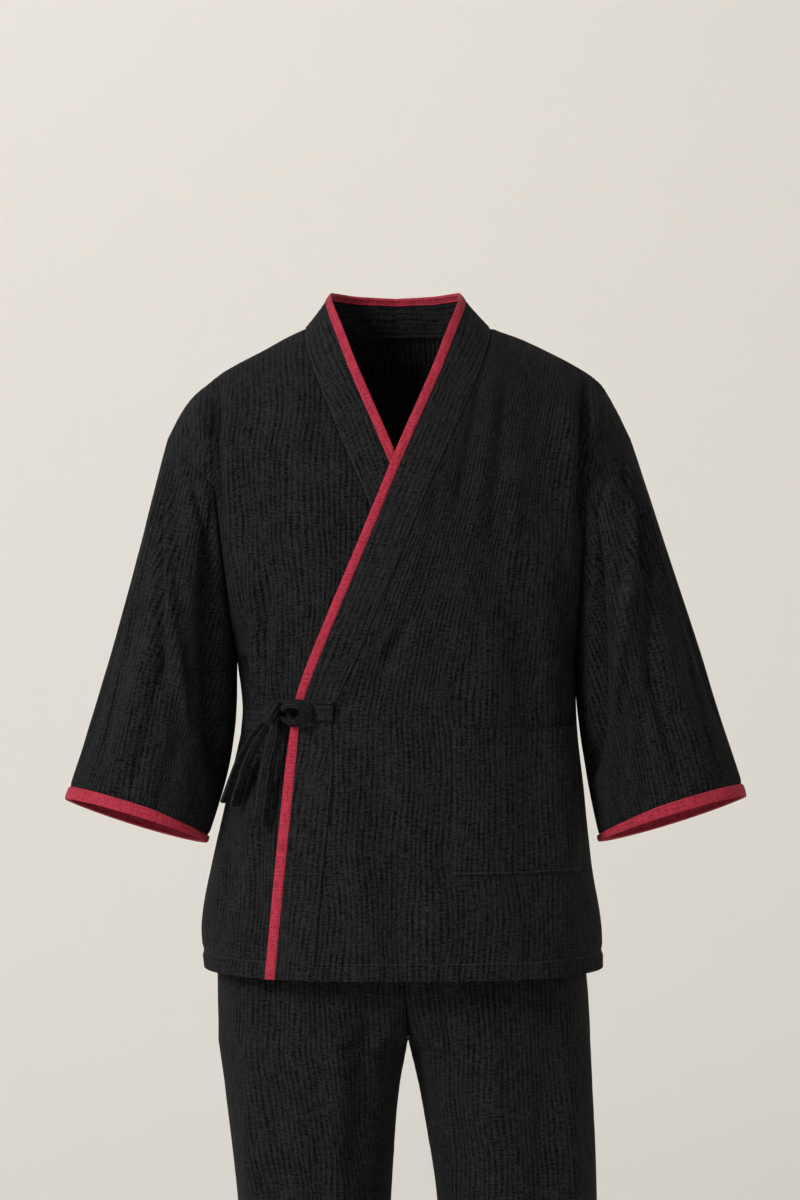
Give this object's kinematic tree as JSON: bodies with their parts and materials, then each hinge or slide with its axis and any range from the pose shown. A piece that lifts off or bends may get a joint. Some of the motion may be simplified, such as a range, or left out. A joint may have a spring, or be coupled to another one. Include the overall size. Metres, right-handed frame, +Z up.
{
  "type": "jinbei set",
  "caption": "Wrap jacket with wide sleeves, tied at one side, over knee-length trousers, in crinkled gauze with a narrow bound edge; it keeps its worn, hollow form.",
  "frame": {"origin": "between the shoulders, level with the collar seams at the sides of the neck, where the wearer carries the jacket", "axes": "+Z up, +X to the wearer's left, the front faces -Y"},
  "size_m": [0.7052, 0.2853, 1.1327],
  "materials": {
    "gauze": "matt crinkled black cotton double gauze",
    "edging": "plain crimson cotton, folded over the edge and stitched"
  },
  "bodies": {
    "root": {"jacket_front_right": "gauze", "jacket_front_left": "gauze", "jacket_back": "gauze", "collar_band_right": "gauze", "collar_band_left": "gauze", "sleeve_right": "gauze", "sleeve_left": "gauze", "pocket": "gauze", "tie_strap_front": "gauze", "tie_strap_side": "gauze", "tie_knot": "gauze", "tie_tail_outer": "gauze", "tie_tail_inner": "gauze", "tie_loop": "gauze", "trouser_front_right": "gauze", "trouser_back_right": "gauze", "trouser_front_left": "gauze", "trouser_back_left": "gauze", "waistband": "gauze", "collar_binding_right": "edging", "collar_binding_left": "edging", "cuff_binding_right": "edging", "cuff_binding_left": "edging"}
  },
  "joints": []
}
